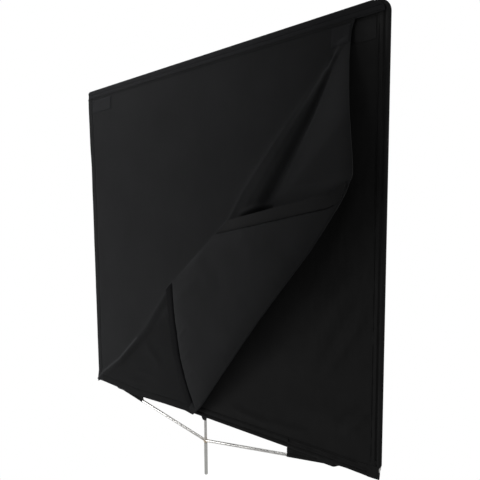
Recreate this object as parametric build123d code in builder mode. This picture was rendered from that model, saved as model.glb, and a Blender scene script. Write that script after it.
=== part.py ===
"""Floppy flag cutter, 48 by 48 inches: a black cloth flag on a welded steel rod frame, with a drop flap.

Millimetres. +Z is up, X runs along the flag's width, and the flap hangs on the -Y side.
The origin lies on the grip pin's axis, midway along the pin, where a grip head clamps it.
The flap is shown hanging closed from its top hinge, with its lower right corner turned back.
"""

import os
from math import atan, cos

from build123d import *

os.makedirs("parts", exist_ok=True)

# ---------------------------------------------------------------- driving dimensions
flag_size = 1219.0  # outer width and height of the rod frame, 48 in
rod_d = 9.5  # frame, brace and post stock, 3/8 in
bend_r = 30.0  # centreline radius of the frame's four bends
pin_d = 12.0
pin_top_z = 57.0
pin_end_z = -60.0
pin_chamfer = 1.5
apex_z = 64.0  # where the two braces' axes meet the post
flag_bottom_z = 150.0  # lowest line of the frame's bottom rod
brace_slope = 0.181  # fall per mm of the braces towards the post
brace_foot = 25.0  # length of each brace that lies along the bottom rod
weld_gap = 0.05  # the rods stand this far apart at a weld
weld_r = 3.2  # how far the apex weld stands out from the rods
post_weld_r = 1.2

cloth = 1.0  # thickness of the cover's cloth
flap_cloth = 1.2
sleeve_slack = 0.25  # room between a rod and its sleeve
seam_in = 30.0  # from the flag's outer edge to the sleeves' seams
pocket_reach = 281.0  # length of each brace pocket along the bottom rod
pocket_height = 48.0  # height of a pocket's side, up to the side sleeve
post_slot_w = 16.0  # slot in the bottom sleeve round the post
band_height = 32.0  # header band that the flap is sewn to
band_y = -6.3  # back face of the header band
patch_w = 120.0
patch_h = 54.0
patch_t = 1.1
patch_in = 34.0  # from the flag's side to a patch
hem_w = 28.0
hem_t = 1.0

flap_y = -11.0  # middle of the flap's flat part
hinge_roll_d = 2.4
fold_roll_d = 5.0

# ---------------------------------------------------------------- worked out from them
rod_r = rod_d / 2
half = flag_size / 2
rod_x = half - rod_r  # centreline of the side rods
bottom_rod_z = flag_bottom_z + rod_r
flag_top_z = flag_bottom_z + flag_size
top_rod_z = flag_top_z - rod_r
hinge_z = flag_top_z - band_height
sleeve_r = rod_r + sleeve_slack + cloth  # outer radius of a sleeve round its rod
seam_x = half - seam_in
brace_rod_z = bottom_rod_z - rod_d - weld_gap  # axis of a brace's foot
brace_bend_x = (brace_rod_z - apex_z) / brace_slope
foot_end_x = brace_bend_x + brace_foot
pocket_x = half - pocket_reach  # inner end of a pocket
pocket_top_z = flag_bottom_z + pocket_height


def save(builder, name):
    """Labels a finished piece and writes it under its node's name."""
    builder.part.label = name
    export_step(builder.part, f"parts/{name}.step")


# ---------------------------------------------------------------- rod frame
def frame_half(side):
    """One C-shaped half of the frame rod, from the top weld round to the bottom weld. side is -1 or 1."""
    with BuildPart() as half_rod:
        with BuildLine(Plane.XZ) as path:
            FilletPolyline(
                (side * weld_gap, top_rod_z),
                (side * rod_x, top_rod_z),
                (side * rod_x, bottom_rod_z),
                (side * weld_gap, bottom_rod_z),
                radius=bend_r,
            )
        with BuildSketch(Plane(path.line @ 0, z_dir=path.line % 0)):
            Circle(rod_r)
        sweep()
    return half_rod


frame_rod_left = frame_half(-1)
save(frame_rod_left, "frame_rod_left")
frame_rod_right = frame_half(1)
save(frame_rod_right, "frame_rod_right")

with BuildPart() as center_post:
    with BuildSketch(Plane.XY.offset(pin_top_z + weld_gap)):
        Circle(rod_r)
    extrude(amount=bottom_rod_z - rod_r - pin_top_z)
    with BuildSketch(Plane.YZ.offset(-post_slot_w)):
        with Locations((0, bottom_rod_z)):
            Circle(rod_r + weld_gap)
    extrude(amount=2 * post_slot_w, mode=Mode.SUBTRACT)
save(center_post, "center_post")

with BuildPart() as grip_pin:
    with BuildSketch(Plane.XY.offset(pin_end_z)):
        Circle(pin_d / 2)
    extrude(amount=pin_top_z - pin_end_z)
    chamfer(grip_pin.edges().group_by(Axis.Z)[0], pin_chamfer)
save(grip_pin, "grip_pin")


def brace(side):
    """One brace rod: a short foot under the bottom rod, then straight down to the post."""
    with BuildPart() as rod:
        with BuildLine(Plane.XZ) as path:
            FilletPolyline(
                (side * foot_end_x, brace_rod_z),
                (side * brace_bend_x, brace_rod_z),
                (0, apex_z),
                radius=3 * rod_d,
            )
        with BuildSketch(Plane(path.line @ 0, z_dir=path.line % 0)):
            Circle(rod_r)
        sweep()
        # the inner end is coped round the post
        with BuildSketch(Plane.XY.offset(pin_top_z - rod_d)):
            Circle(rod_r + weld_gap)
        extrude(amount=4 * rod_d, mode=Mode.SUBTRACT)
        split(bisect_by=Plane.YZ, keep=Keep.TOP if side > 0 else Keep.BOTTOM)
    return rod


brace_left = brace(-1)
save(brace_left, "brace_left")
brace_right = brace(1)
save(brace_right, "brace_right")

with BuildPart() as apex_weld:
    with Locations((0, 0, apex_z)):
        Sphere(rod_r + weld_r)
    with Locations((0, 0, pin_top_z - rod_d)):
        Cylinder(2 * rod_d, 2 * rod_d, align=(Align.CENTER, Align.CENTER, Align.MIN), mode=Mode.INTERSECT)
    for piece in (center_post, grip_pin, brace_left, brace_right):
        add(piece.part, mode=Mode.SUBTRACT)
save(apex_weld, "apex_weld")

with BuildPart() as post_weld:
    with BuildSketch(Plane.XY.offset(bottom_rod_z - rod_r - post_weld_r)):
        Circle(rod_r + 0.3)
    with BuildSketch(Plane.XY.offset(bottom_rod_z - rod_r / 2)):
        Circle(rod_r + post_weld_r)
    loft()
    for piece in (center_post, frame_rod_left, frame_rod_right):
        add(piece.part, mode=Mode.SUBTRACT)
save(post_weld, "post_weld")

with BuildPart() as brace_welds:
    for side in (-1, 1):
        for front in (-1, 1):
            with BuildSketch(Plane.YZ.offset(side * (brace_bend_x + 2))):
                with Locations((front * (rod_r - 1.6), bottom_rod_z - rod_r - weld_gap / 2)):
                    Circle(1.7)
            extrude(amount=side * (brace_foot - 5))
    for piece in (frame_rod_left, frame_rod_right, brace_left, brace_right):
        add(piece.part, mode=Mode.SUBTRACT)
save(brace_welds, "brace_welds")


# ---------------------------------------------------------------- cloth cover
def teardrop(reach, grow):
    """Draws the closed outline of a sleeve's section, with x running from the seam out to the rod.

    reach is from the seam to the rod's axis, and grow is how far the outline lies outside the cavity."""
    r = rod_r + sleeve_slack + grow
    lip = 0.05 + grow
    Polyline((0, -lip), (reach, -r))
    ThreePointArc((reach, -r), (reach + r, 0), (reach, r))
    Polyline((reach, r), (0, lip), (0, -lip))


def sleeve_section(plane, reach):
    """A sleeve's wall, cut across: its outer outline less its cavity, closed by the seam's two plies."""
    with BuildSketch(plane) as section:
        with BuildLine():
            teardrop(reach, cloth)
        make_face()
        with BuildLine():
            teardrop(reach, 0)
        make_face(mode=Mode.SUBTRACT)
        with Locations((3, 0)):
            Rectangle(6, 2 * cloth)
    return section.sketch


seam_to_rod = rod_x - seam_x
bend_x = rod_x - bend_r
bend_z = top_rod_z - bend_r
top_seam_z = flag_top_z - seam_in
bottom_seam_z = flag_bottom_z + seam_in


def side_sleeve(side):
    """The sleeve round one side rod, from the brace pocket up to the top sleeve."""
    plane = Plane((side * seam_x, 0, pocket_top_z), x_dir=(side, 0, 0), z_dir=(0, 0, 1))
    with BuildPart() as sleeve:
        extrude(sleeve_section(plane, seam_to_rod), amount=bend_z - pocket_top_z)
    return sleeve


sleeve_left = side_sleeve(-1)
save(sleeve_left, "sleeve_left")
sleeve_right = side_sleeve(1)
save(sleeve_right, "sleeve_right")

with BuildPart() as sleeve_top:
    straight = Plane((-bend_x, 0, top_seam_z), x_dir=(0, 0, 1), z_dir=(1, 0, 0))
    extrude(sleeve_section(straight, seam_to_rod), amount=2 * bend_x)
    for side in (-1, 1):
        bend_start = Plane((side * seam_x, 0, bend_z), x_dir=(side, 0, 0), z_dir=(0, 0, 1))
        bend_axis = Axis((side * bend_x, 0, bend_z), (0, -side, 0))
        revolve(sleeve_section(bend_start, seam_to_rod), axis=bend_axis, revolution_arc=90)
save(sleeve_top, "sleeve_top")

with BuildPart() as sleeve_bottom:
    plane = Plane((-pocket_x, 0, bottom_seam_z), x_dir=(0, 0, -1), z_dir=(1, 0, 0))
    extrude(sleeve_section(plane, seam_to_rod), amount=2 * pocket_x)
    with BuildSketch(Plane.XY.offset(bottom_rod_z)):
        Rectangle(post_slot_w, 4 * sleeve_r)
    extrude(amount=-4 * sleeve_r, mode=Mode.SUBTRACT)
save(sleeve_bottom, "sleeve_bottom")


def pocket_block(shrink):
    """The solid outline of a brace pocket on the +X side, drawn in by shrink on every closed side."""
    y = sleeve_r - shrink
    lip = cloth + 0.05 - shrink
    overrun = 10 if shrink else 0
    brace_low = rod_r / cos(atan(brace_slope)) + sleeve_slack + cloth - shrink
    end_x = pocket_x - overrun
    end_z = brace_rod_z - (brace_bend_x - end_x) * brace_slope - brace_low
    foot_z = brace_rod_z - brace_low
    low_z = bottom_rod_z - sleeve_r + shrink
    side_x = half + cloth + sleeve_slack - shrink
    top_z = pocket_top_z + overrun
    with BuildPart() as block:
        # as thick as the bottom rod's sleeve, thinning to the panel
        with BuildSketch(Plane.YZ.offset(end_x)):
            with BuildLine():
                Polyline(
                    (-y, end_z),
                    (y, end_z),
                    (y, bottom_rod_z),
                    (lip, bottom_seam_z),
                    (lip, top_z),
                    (-lip, top_z),
                    (-lip, bottom_seam_z),
                    (-y, bottom_rod_z),
                    (-y, end_z),
                )
            make_face()
        extrude(amount=side_x - end_x)
        # and as thick as the side rod's sleeve, thinning to the panel
        with BuildSketch(Plane.XY.offset(end_z)):
            with BuildLine():
                Polyline(
                    (seam_x, -lip),
                    (rod_x, -y),
                    (side_x, -y),
                    (side_x, y),
                    (rod_x, y),
                    (seam_x, lip),
                    close=True,
                )
            make_face()
        extrude(amount=top_z - end_z)
        # with room for the rod's bend in the corner
        with BuildSketch(Plane.XZ.offset(-y)):
            with BuildLine():
                Polyline(
                    (bend_x + 2 + shrink, end_z),
                    (side_x, end_z),
                    (side_x, pocket_top_z - 2 - shrink),
                    (seam_x + 2 + shrink, pocket_top_z - 2 - shrink),
                    (seam_x + 2 + shrink, bottom_seam_z - 2 - shrink),
                    (bend_x + 2 + shrink, bottom_seam_z - 2 - shrink),
                    close=True,
                )
            make_face()
        extrude(amount=2 * y)
        with BuildSketch(Plane.XZ.offset(-2 * y)):
            with BuildLine():
                Polyline(
                    (end_x, end_z),
                    (brace_bend_x, foot_z),
                    (foot_end_x + 3, foot_z),
                    (foot_end_x + 14, low_z),
                    (side_x - 4, low_z),
                    (side_x, low_z + 4),
                    (side_x, top_z),
                    (end_x, top_z),
                    close=True,
                )
            make_face()
        extrude(amount=4 * y, mode=Mode.INTERSECT)
    return block.part


def pocket(side):
    """The cover's lower corner: a bag round the frame's bend and the outer end of a brace."""
    with BuildPart() as bag:
        add(pocket_block(0))
        add(pocket_block(cloth), mode=Mode.SUBTRACT)
        # the panel fills the inner corner
        with BuildSketch(Plane.XZ.offset(-2 * sleeve_r)):
            with Locations((0, bottom_seam_z)):
                Rectangle(seam_x, 2 * pocket_height, align=(Align.MIN, Align.MIN))
        extrude(amount=4 * sleeve_r, mode=Mode.SUBTRACT)
        if side < 0:
            mirror(about=Plane.YZ, mode=Mode.REPLACE)
    return bag


corner_pocket_left = pocket(-1)
save(corner_pocket_left, "corner_pocket_left")
corner_pocket_right = pocket(1)
save(corner_pocket_right, "corner_pocket_right")

with BuildPart() as cover_panel:
    with BuildSketch(Plane.XZ.offset(-cloth / 2)) as sheet:
        with Locations((0, (top_seam_z + bottom_seam_z) / 2)):
            Rectangle(2 * seam_x, top_seam_z - bottom_seam_z)
        fillet(sheet.vertices().group_by(Axis.Y)[-1], bend_r - seam_to_rod)
    extrude(amount=cloth)
save(cover_panel, "cover_panel")

with BuildPart() as post_tab:
    with BuildSketch(Plane.XZ.offset(sleeve_r + 0.1)):
        with BuildLine():
            Polyline((-15, 156), (15, 156), (7, 141), (-7, 141), close=True)
        make_face()
    extrude(amount=cloth)
save(post_tab, "post_tab")

with BuildPart() as header_band:
    with BuildSketch(Plane.XZ.offset(-band_y)) as strip:
        with Locations((0, hinge_z)):
            Rectangle(2 * (half - 12), band_height - 3, align=(Align.CENTER, Align.MIN))
        # only the right end follows the frame's bend; the flap squares off the left one
        fillet(strip.vertices().group_by(Axis.Y)[-1].sort_by(Axis.X)[-1], band_height - 4)
    extrude(amount=cloth)
save(header_band, "header_band")


# ---------------------------------------------------------------- hook and loop patches
patch_x = half - patch_in - patch_w / 2
patch_z = hinge_z - 4 - patch_h / 2
loop_back_y = -cloth / 2 - 0.3
hook_back_y = flap_y + flap_cloth / 2 + 0.1 + patch_t
short_hook_w = 46.0  # the flap's right patch ends at the flap's drawn-in edge
short_hook_x = 489.0


def patch(x, back_y, width=patch_w):
    """A flat patch near the top of the flag, with its back face at back_y."""
    with BuildPart() as piece:
        with BuildSketch(Plane.XZ.offset(-back_y)) as outline:
            with Locations((x, patch_z)):
                Rectangle(width, patch_h)
            fillet(outline.vertices(), 3)
        extrude(amount=patch_t)
    return piece


save(patch(-patch_x, loop_back_y), "loop_patch_left")
save(patch(patch_x, loop_back_y), "loop_patch_right")
save(patch(-patch_x, hook_back_y), "hook_patch_left")
save(patch(short_hook_x, hook_back_y, short_hook_w), "hook_patch_right")


# ---------------------------------------------------------------- flap
# Points on the hanging flap, each (x, y, z). The ridge runs along its diagonal from the upper right
# corner to the lower left one, and the fold runs from the bottom edge up to the right edge.
flap_x = half - 3.5
flap_low_z = flag_bottom_z - 6
fold_low = (-42, -22, 154)
fold_top = (574, -150, 927)
fold_clear = (-2.8, 0, 2.1)  # the flap stops this short of the fold's axis
low_right = tuple(p + q for p, q in zip(fold_low, fold_clear))
high_right = tuple(p + q for p, q in zip(fold_top, fold_clear))
top_left = (-flap_x, flap_y, hinge_z - 2)
low_left = (-flap_x, flap_y, flap_low_z)
top_right = (525, flap_y, hinge_z - 2)
edge_1 = (515, flap_y - 1.2, 1305)
edge_2 = (526, -62, 1218)
edge_3 = (547, -110, 1105)
edge_4 = (568, -140, 985)
ridge_1 = (-398, -18, 322)
ridge_2 = (-147, -24, 592)
ridge_3 = (137, -32, 834)
ridge_4 = (300, -33, 1046)
ridge_5 = (485, flap_y - 1.2, 1292)
valley_1 = (70, -14, 540)
valley_2 = (240, -15, 790)
valley_3 = (366, -18, 1010)
flap_facets = [
    (top_left, low_left, ridge_1),
    (top_left, ridge_1, ridge_2),
    (top_left, ridge_2, ridge_3),
    (top_left, ridge_3, ridge_4),
    (top_left, ridge_4, ridge_5),
    (top_left, ridge_5, top_right),
    (ridge_5, edge_1, top_right),
    (low_left, low_right, ridge_1),
    (ridge_1, low_right, ridge_2),
    (ridge_2, low_right, valley_1),
    (ridge_2, valley_1, ridge_3),
    (ridge_3, valley_1, valley_2),
    (ridge_3, valley_2, ridge_4),
    (ridge_4, valley_2, valley_3),
    (ridge_4, valley_3, ridge_5),
    (valley_1, low_right, high_right),
    (valley_1, high_right, valley_2),
    (valley_2, high_right, valley_3),
    (valley_3, high_right, edge_4),
    (valley_3, edge_4, edge_3),
    (valley_3, edge_3, edge_2),
    (ridge_5, valley_3, edge_2),
    (ridge_5, edge_2, edge_1),
]


def between(a, b, share):
    """The point that lies share of the way from a to b."""
    return tuple(p + (q - p) * share for p, q in zip(a, b))


def folded_sheet(facets, back_y, thickness):
    """Flat polygons of cloth joined edge to edge. Their backs lie back_y behind the points along Y."""
    with BuildPart() as sheet_part:
        for points in facets:
            face = Face(Wire.make_polygon([Vector(x, y + back_y, z) for x, y, z in points]))
            add(Solid.extrude(face, Vector(0, -thickness, 0)))
    return sheet_part


save(folded_sheet(flap_facets, flap_cloth / 2, flap_cloth), "flap_sheet")

with BuildPart() as flap_hinge_fold:
    with BuildSketch(Plane.YZ.offset(-flap_x)):
        with Locations((flap_y, hinge_z)):
            Circle(hinge_roll_d / 2)
    extrude(amount=flap_x + top_right[0])
save(flap_hinge_fold, "flap_hinge_fold")

# The hems are turned in on the flap's back.
hem_back = flap_cloth / 2 + 0.1 + hem_t
left_hem = [
    (
        (-flap_x, flap_y, low_left[2] + hem_w + 2),
        (-flap_x + hem_w, flap_y, low_left[2] + hem_w + 2),
        (-flap_x + hem_w, flap_y, top_left[2]),
        (-flap_x, flap_y, top_left[2]),
    )
]
save(folded_sheet(left_hem, hem_back, hem_t), "flap_left_hem")
hem_share = hem_w / (ridge_1[2] - low_left[2])
bottom_hem = [
    (low_left, low_right, between(low_right, ridge_1, hem_share), between(low_left, ridge_1, hem_share))
]
save(folded_sheet(bottom_hem, hem_back, hem_t), "flap_bottom_hem")
side_hem = [
    (edge_1, edge_2, between(edge_2, ridge_5, 0.25), between(edge_1, ridge_5, 0.8)),
    (edge_2, between(edge_2, valley_3, 0.12), between(edge_2, ridge_5, 0.25)),
    (edge_2, edge_3, between(edge_3, valley_3, 0.12), between(edge_2, valley_3, 0.12)),
    (edge_3, edge_4, between(edge_4, valley_3, 0.12), between(edge_3, valley_3, 0.12)),
    (edge_4, high_right, between(high_right, valley_3, 0.12), between(edge_4, valley_3, 0.12)),
]
save(folded_sheet(side_hem, hem_back, hem_t), "flap_right_hem")

# ---------------------------------------------------------------- the corner that is turned back
hem_end = (-134, -42, 597)
tip_fold_end = (158, -62, 836)
brow = (511, -152, 894)
tip = (60, -30, 560)
corner_back = -fold_roll_d / 2 - 0.4
corner_facets = [
    (fold_low, hem_end, tip_fold_end),
    (fold_low, tip_fold_end, brow),
    (fold_low, brow, fold_top),
]
save(folded_sheet(corner_facets, corner_back, flap_cloth), "corner_sheet")

fold_axis = Vector(*fold_top) - Vector(*fold_low)
with BuildPart() as corner_fold:
    with BuildSketch(Plane(fold_low, z_dir=fold_axis)):
        Circle(fold_roll_d / 2)
    extrude(amount=fold_axis.length)
save(corner_fold, "corner_fold")

# The corner shows the flap's back, so its hems lie on its front here.
corner_hem_back = corner_back - flap_cloth - 0.1
corner_low_hem = [
    (fold_low, hem_end, between(hem_end, tip_fold_end, 0.12), between(fold_low, tip_fold_end, 0.11))
]
save(folded_sheet(corner_low_hem, corner_hem_back, hem_t), "corner_bottom_hem")
corner_side_hem = [
    (tip_fold_end, brow, between(brow, fold_low, 0.045), between(tip_fold_end, fold_low, 0.04)),
    (brow, fold_top, between(fold_top, fold_low, 0.045), between(brow, fold_low, 0.045)),
]
save(folded_sheet(corner_side_hem, corner_hem_back, hem_t), "corner_right_hem")

# The very tip is tucked under, between the corner and the flap.
save(folded_sheet([(hem_end, tip_fold_end, tip)], corner_back + 0.4 + flap_cloth, flap_cloth), "corner_tip")
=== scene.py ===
"""Visual model of a floppy flag cutter: a black cloth flag on a steel rod frame, with a cloth drop flap.

Metres, in the CAD's own frame: +Z up, X along the flag, the flap on the -Y side, the origin on the grip pin.
"""

from math import cos, pi, radians, sin

import bmesh
import bpy
import numpy as np
from mathutils import Matrix, Vector
from mathutils.bvhtree import BVHTree


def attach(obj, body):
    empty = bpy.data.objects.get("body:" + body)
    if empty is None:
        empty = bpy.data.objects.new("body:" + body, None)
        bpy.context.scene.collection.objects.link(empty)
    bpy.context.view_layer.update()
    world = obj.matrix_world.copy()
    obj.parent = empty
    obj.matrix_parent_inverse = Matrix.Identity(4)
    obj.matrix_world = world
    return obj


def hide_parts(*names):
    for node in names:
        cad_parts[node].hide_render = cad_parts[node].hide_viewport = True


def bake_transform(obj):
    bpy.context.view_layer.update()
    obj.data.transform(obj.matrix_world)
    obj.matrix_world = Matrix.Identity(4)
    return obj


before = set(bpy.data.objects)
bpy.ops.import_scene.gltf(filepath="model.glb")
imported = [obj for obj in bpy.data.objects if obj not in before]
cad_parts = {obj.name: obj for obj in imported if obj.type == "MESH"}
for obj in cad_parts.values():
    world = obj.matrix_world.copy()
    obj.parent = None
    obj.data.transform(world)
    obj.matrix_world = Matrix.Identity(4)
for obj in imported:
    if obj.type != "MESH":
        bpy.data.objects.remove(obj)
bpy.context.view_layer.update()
scene = bpy.context.scene

# ---------- sizes, as the CAD has them
HALF = 0.6095  # half the frame's width
ROD_X = 0.60475  # the side rods' axes
TOP_Z = 1.36425  # the top rod's axis
LOW_Z = 0.15475  # the bottom rod's axis
BEND_R = 0.030  # the frame's rounded corners, at the rod's axis
SEAM = 0.02525  # from a frame rod's axis to its sleeve's seam
HINGE_Z = 1.337  # the flap's top seam
FLAP_LEFT = -0.606
FLAP_TOP = 1.3365
FLAP_Y = -0.011  # the middle of the flap's flat part
CLOTH = 0.0010  # how thick the panel and the header band are
FLAP = 0.0012  # and how thick the flap is
POCKET_X = 0.3285  # the brace pockets' inner ends
APEX_Z = 0.064  # where the braces meet
BRACE_Z = 0.1452  # a brace's axis where it lies along the bottom rod
BRACE_X = 0.44864  # where it bends to do so
BRACE_END_X = 0.474  # where it ends
BRACE_SLOPE = 0.181  # how steeply the rest of it falls towards the apex
PATCH_SIZE = (0.120, 0.054)  # the fastener tapes
SHORT_SIZE = (0.046, 0.054)  # the flap's right patch, where the fold crosses it

SKIN_R = 0.0061  # from a rod's axis to the outside of the cloth on it
HEM_STEP = 0.006  # from one point to the next along a hem
HEM_SEAM = 0.0262  # from the flap's edge to its hem's stitches
BAND_SEAM = 0.0330  # from the turned-back corner's edge to its hem's stitches
LOW_RIDGE = [(-0.6060, 0.160), (-0.5620, 0.200), (-0.4420, 0.281), (-0.3300, 0.385)]  # the flap's low crease
CREASE_HIGHLIGHT, CREASE_SIDE_SHADE = 2.6, 0.56  # painted highlight and painted shade: how much paler the cloth is painted on that crease, and how much darker to its right


# ---------- materials
def plug(node, inputs):
    """Sets a node's inputs: an output socket is linked, and anything else is a constant."""
    for key, value in inputs.items():
        if isinstance(value, bpy.types.NodeSocket):
            node.id_data.links.new(value, node.inputs[key])
        else:
            node.inputs[key].default_value = value


def adder(tree):
    """A short way to add nodes to a tree, with their inputs and settings."""
    def add(kind, inputs, **settings):
        node = tree.nodes.new(kind)
        for key, value in settings.items():
            setattr(node, key, value)
        plug(node, inputs)
        return node

    return add


def node_material(name):
    """A material, its Principled shader, an adder of nodes to it, and the place on the object."""
    material = bpy.data.materials.new(name)
    material.use_nodes = True
    add = adder(material.node_tree)
    place = add("ShaderNodeTexCoord", {}).outputs["Object"]
    return material, material.node_tree.nodes["Principled BSDF"], add, place


def ramp(add, value, between, to, kind="LINEAR"):
    """A value that goes from one pair of limits to another."""
    return add("ShaderNodeMapRange", {"Value": value, "From Min": between[0], "From Max": between[1],
                                      "To Min": to[0], "To Max": to[1]}, interpolation_type=kind).outputs[0]


def soft_ramp(add, value, between, to):
    return ramp(add, value, between, to, "SMOOTHSTEP")


def calc(add, operation, a, b):
    """A sum, product or minimum of two numbers."""
    return add("ShaderNodeMath", {0: a, 1: b}, operation=operation).outputs[0]


def vector(add, operation, a, b):
    """The vector sum, difference or product of two, or their dot product or distance as a number."""
    node = add("ShaderNodeVectorMath", {0: a, 1: b}, operation=operation)
    return node.outputs["Value" if operation in ("DOT_PRODUCT", "DISTANCE") else "Vector"]


def scaled(add, a, factor):
    return add("ShaderNodeVectorMath", {0: a, "Scale": factor}, operation="SCALE").outputs[0]


def mixed(add, factor, first, second):
    """A colour between two, each an output socket or (r, g, b, 1)."""
    node = add("ShaderNodeMix", {"Factor": factor, "A": first, "B": second}, data_type="RGBA")
    return node.outputs["Result"]


def noise(add, place, scale, detail=2.0, rough=0.5):
    return add("ShaderNodeTexNoise", {"Vector": place, "Scale": scale, "Detail": detail,
                                      "Roughness": rough}).outputs["Fac"]


def bumped(add, height, strength, distance):
    return add("ShaderNodeBump", {"Height": height, "Strength": strength, "Distance": distance}).outputs[0]


def crease_highlight_and_shade(add, place, crease, color):
    """A painted highlight along a crease, given as (x, z) points, and painted shade to its right."""
    points = [Vector((x, 0.0, z)) for x, z in crease]
    flat = vector(add, "MULTIPLY", place, (1.0, 0.0, 1.0))
    nearest = None
    for a, b in zip(points[:-1], points[1:]):
        run = b - a
        from_a = vector(add, "SUBTRACT", flat, tuple(a))
        share = ramp(add, vector(add, "DOT_PRODUCT", from_a, tuple(run / run.length_squared)), (0, 1), (0, 1))
        gap = vector(add, "DISTANCE", from_a, scaled(add, tuple(run), share))
        nearest = gap if nearest is None else calc(add, "MINIMUM", nearest, gap)
    # painted highlight: the colour is made paler within a few millimetres of the crease
    highlight = soft_ramp(add, nearest, (0.0, 0.007), (CREASE_HIGHLIGHT, 1.0))
    right = Vector((0.0, 1.0, 0.0)).cross((points[-1] - points[0]).normalized())
    aside = vector(add, "DOT_PRODUCT", vector(add, "SUBTRACT", flat, tuple(points[0])), tuple(right))
    # painted shade: the colour is made darker on the crease's right-hand side
    nap_streaks_and_shade = soft_ramp(add, aside, (0.0, 0.03), (1.0, CREASE_SIDE_SHADE))
    return scaled(add, color, calc(add, "MULTIPLY", highlight, nap_streaks_and_shade))


def duvetyne(name, dark, light, sheen, right_shade=0.0, crease=None):
    """Brushed black cotton: a fine weave under a short nap, faint mottling, and a soft sheen.

    right_shade is how much darker the cloth is painted at its right-hand end: painted shade, where less light
    falls."""
    material, shader, add, place = node_material(name)
    mottle = noise(add, place, 7.0, 5.0, 0.62)
    nap_streaks_and_shade = add("ShaderNodeMapping", {"Vector": place, "Scale": (90.0, 90.0, 14.0)})
    streak = noise(add, nap_streaks_and_shade.outputs[0], 1.0, 3.0)
    spread = ramp(add, calc(add, "ADD", mottle, streak), (0.75, 1.25), (0.0, 1.0))
    tone = mixed(add, spread, (*dark, 1), (*light, 1))
    along = add("ShaderNodeSeparateXYZ", {"Vector": place}).outputs["X"]
    # painted shade: the colour is darkened from x = 0.15 to 0.5, towards the right-hand end
    color = scaled(add, tone, soft_ramp(add, along, (0.15, 0.50), (1.0, 1.0 - right_shade)))
    if crease:
        color = crease_highlight_and_shade(add, place, crease, color)

    warp = add("ShaderNodeTexWave", {"Vector": place, "Scale": 260.0, "Distortion": 1.2}, bands_direction="X")
    weft = add("ShaderNodeTexWave", {"Vector": place, "Scale": 300.0, "Distortion": 1.2}, bands_direction="Z")
    weave = calc(add, "MULTIPLY", warp.outputs["Fac"], weft.outputs["Fac"])
    height = calc(add, "ADD", noise(add, place, 950.0), weave)
    plug(shader, {"Base Color": (*dark, 1), "Specular IOR Level": 0.06, "Sheen Weight": sheen,
                  "Sheen Roughness": 0.45, "Sheen Tint": (0.75, 0.78, 0.85, 1)})
    plug(shader, {"Base Color": color, "Roughness": ramp(add, streak, (0.0, 1.0), (0.84, 0.97)),
                  "Normal": bumped(add, height, 0.55, 0.00016)})
    return material


def tape(name, tone, scale, depth):
    """Fastener tape: a dense field of hooks or loops."""
    material, shader, add, place = node_material(name)
    cells = add("ShaderNodeTexVoronoi", {"Vector": place, "Scale": scale, "Randomness": 0.6})
    shade = ramp(add, cells.outputs["Distance"], (0.0, 1.0), (1.0, 0.35))
    plug(shader, {"Base Color": mixed(add, shade, (0.002, 0.002, 0.002, 1), (*tone, 1)),
                  "Normal": bumped(add, shade, 0.8, depth), "Roughness": 0.62, "Specular IOR Level": 0.08})
    return material


def thread(name):
    """Matt black sewing thread, darker than the cloth, so that the seams also show as lines of painted shade.
    """
    material, shader, add, place = node_material(name)
    tone = mixed(add, noise(add, place, 1800.0), (0.0006, 0.0006, 0.0007, 1), (0.0020, 0.0020, 0.0021, 1))
    plug(shader, {"Base Color": tone, "Roughness": 0.6, "Specular IOR Level": 0.02})
    return material


def steel(name, tone, rough, tint=0.0):
    """Drawn, zinc-plated rod: fine lines, cloudy plating, and a straw tint by the welds."""
    material, shader, add, place = node_material(name)
    cloud = noise(add, place, 55.0, 6.0, 0.6)
    fine = noise(add, place, 620.0, 3.0)
    color = mixed(add, cloud, (*[c * 0.72 for c in tone], 1), (*tone, 1))
    near = vector(add, "DISTANCE", place, (0.0, 0.0, APEX_Z))
    heat = soft_ramp(add, near, (0.010, 0.034), (tint, 0.0))
    plug(shader, {"Base Color": mixed(add, heat, color, (0.30, 0.22, 0.13, 1)), "Metallic": 1.0,
                  "Roughness": ramp(add, cloud, (0.3, 0.7), (rough - 0.08, rough + 0.1)),
                  "Normal": bumped(add, fine, 0.25, 0.00012)})
    return material


cover_cloth = duvetyne("cover_cloth", (0.0036, 0.0036, 0.0036), (0.0052, 0.0052, 0.0052), 0.012)
FLAP_TONES = (0.0038, 0.0039, 0.0041), (0.0055, 0.0056, 0.0059), 0.016
flap_cloth = duvetyne("flap_cloth", *FLAP_TONES, right_shade=0.45)
flap_front_cloth = duvetyne("flap_front_cloth", *FLAP_TONES, right_shade=0.45, crease=LOW_RIDGE)
hem_cloth = duvetyne("hem_cloth", (0.0036, 0.0036, 0.0037), (0.0053, 0.0053, 0.0054), 0.014, right_shade=0.40)
# painted shade: the turned-back corner's bottom hem gets a cloth several times darker than the same cloth
# around it
band_cloth = duvetyne("band_cloth", (0.0004, 0.0004, 0.0006), (0.0009, 0.0009, 0.0012), 0.003)
facing_cloth = duvetyne("facing_cloth", (0.0050, 0.0051, 0.0056), (0.0068, 0.0069, 0.0075), 0.018, right_shade=0.45)
hook_tape = tape("hook_tape", (0.006, 0.006, 0.006), 900.0, 0.0006)
loop_tape = tape("loop_tape", (0.0010, 0.0010, 0.0011), 650.0, 0.0005)
thread_and_seam_shade = thread("thread_and_seam_shade")
rod_steel = steel("rod_steel", (0.36, 0.355, 0.345), 0.24, 0.15)
pin_steel = steel("pin_steel", (0.36, 0.36, 0.345), 0.36)
weld_steel = steel("weld_steel", (0.46, 0.44, 0.40), 0.45, 0.5)


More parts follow.
